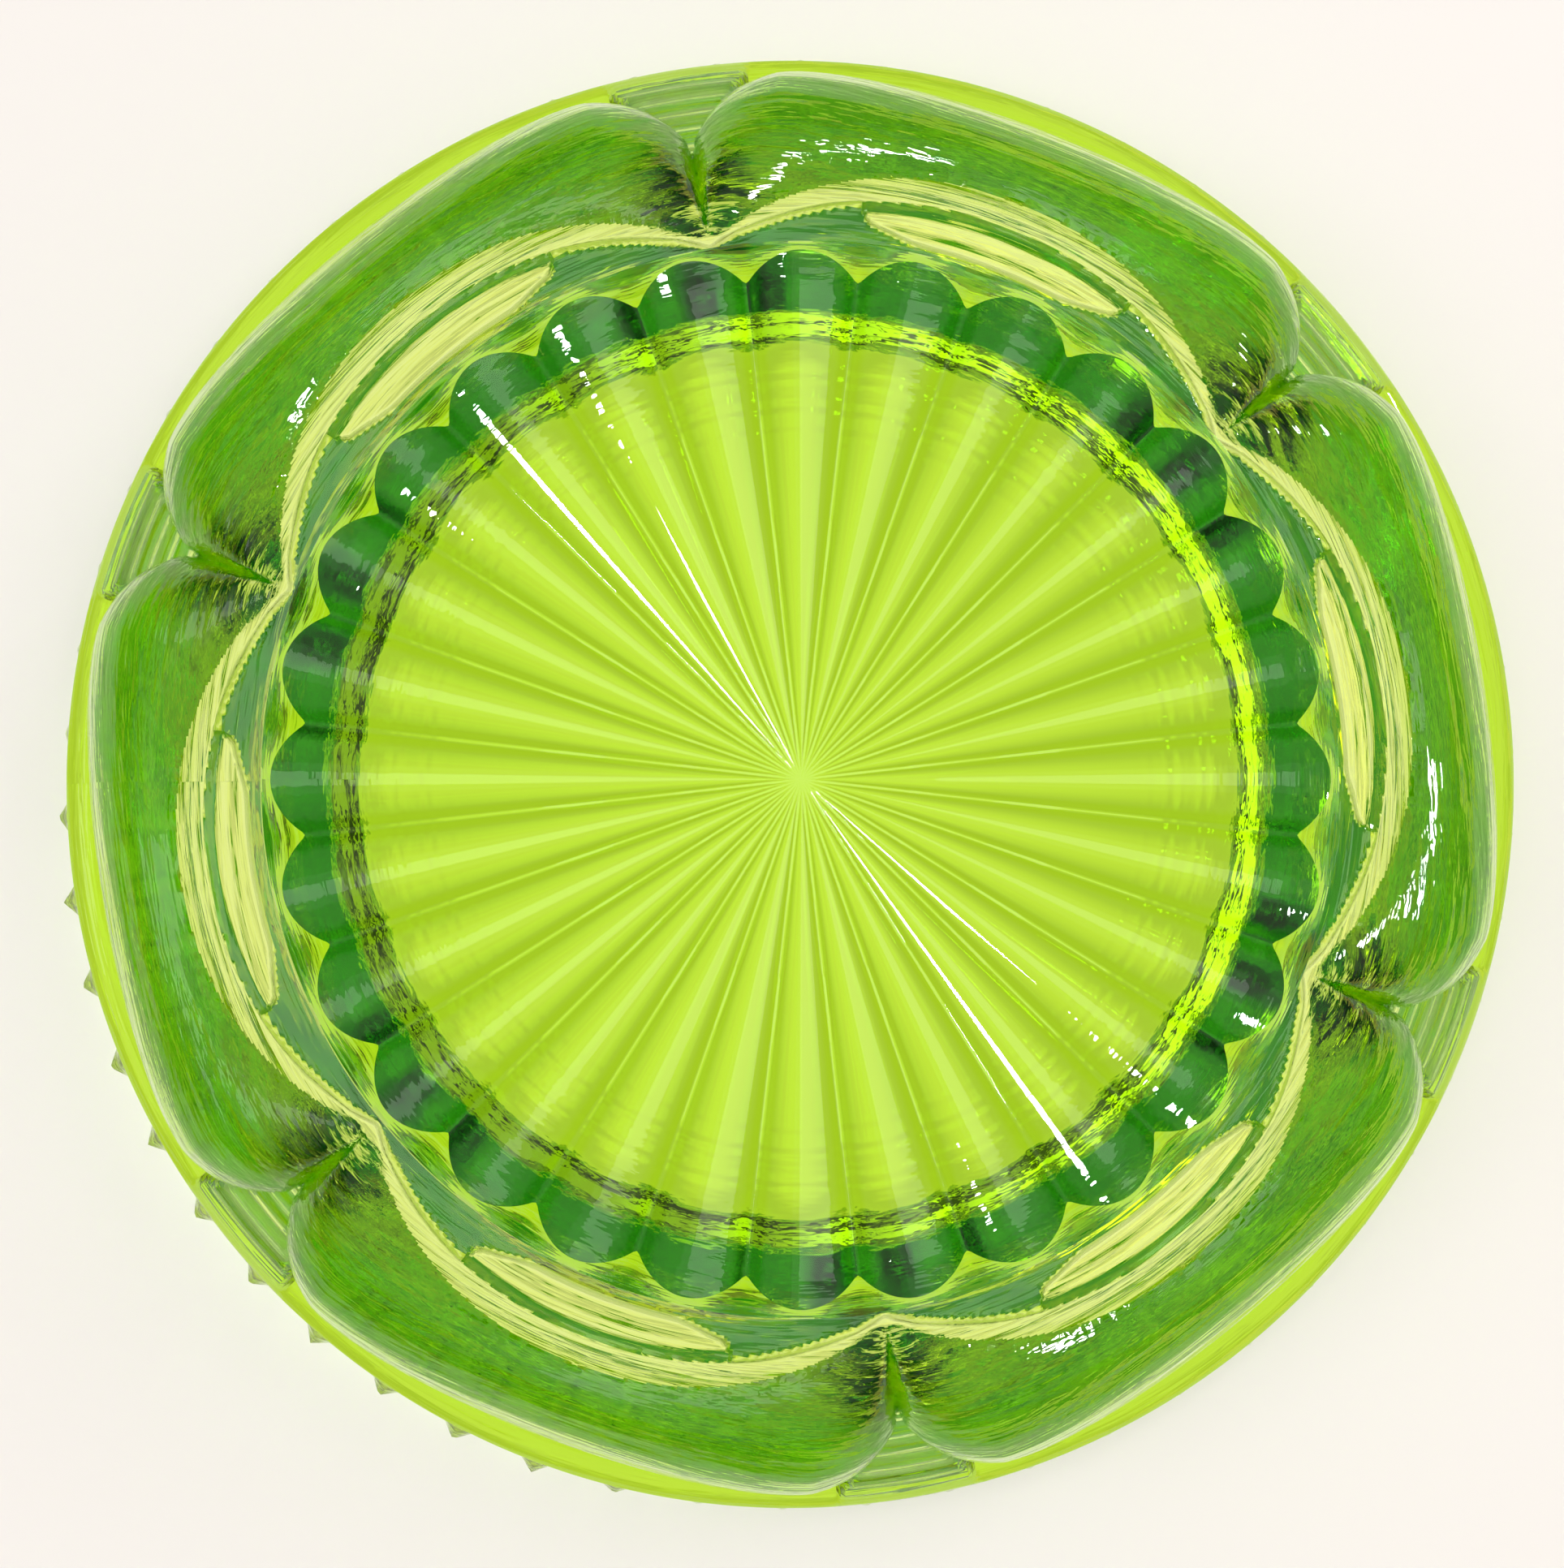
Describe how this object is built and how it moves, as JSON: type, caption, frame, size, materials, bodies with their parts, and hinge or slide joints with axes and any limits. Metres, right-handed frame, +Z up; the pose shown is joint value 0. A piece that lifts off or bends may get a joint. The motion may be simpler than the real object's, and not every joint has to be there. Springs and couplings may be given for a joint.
{
  "type": "pressed glass dish",
  "caption": "Small round pressed-glass dish in clear yellow-green glass, with a fluted star under its foot, puffed lobes with ribbed fans between them, and a pointed rim band.",
  "frame": {"origin": "centre of the flat face under the foot, which the dish rests on", "axes": "+Z up along the dish's axis and out of its mouth, +X through the middle of one flute of the star"},
  "size_m": [0.0906, 0.0906, 0.038],
  "materials": {
    "glass": "fire-polished, transparent yellow-green"
  },
  "bodies": {
    "root": {"star_foot": "glass", "bowl": "glass", "rim_band": "glass", "lobe_1": "glass", "lobe_2": "glass", "lobe_3": "glass", "lobe_4": "glass", "lobe_5": "glass", "lobe_6": "glass", "fan_1": "glass", "fan_2": "glass", "fan_3": "glass", "fan_4": "glass", "fan_5": "glass", "fan_6": "glass"}
  },
  "joints": []
}
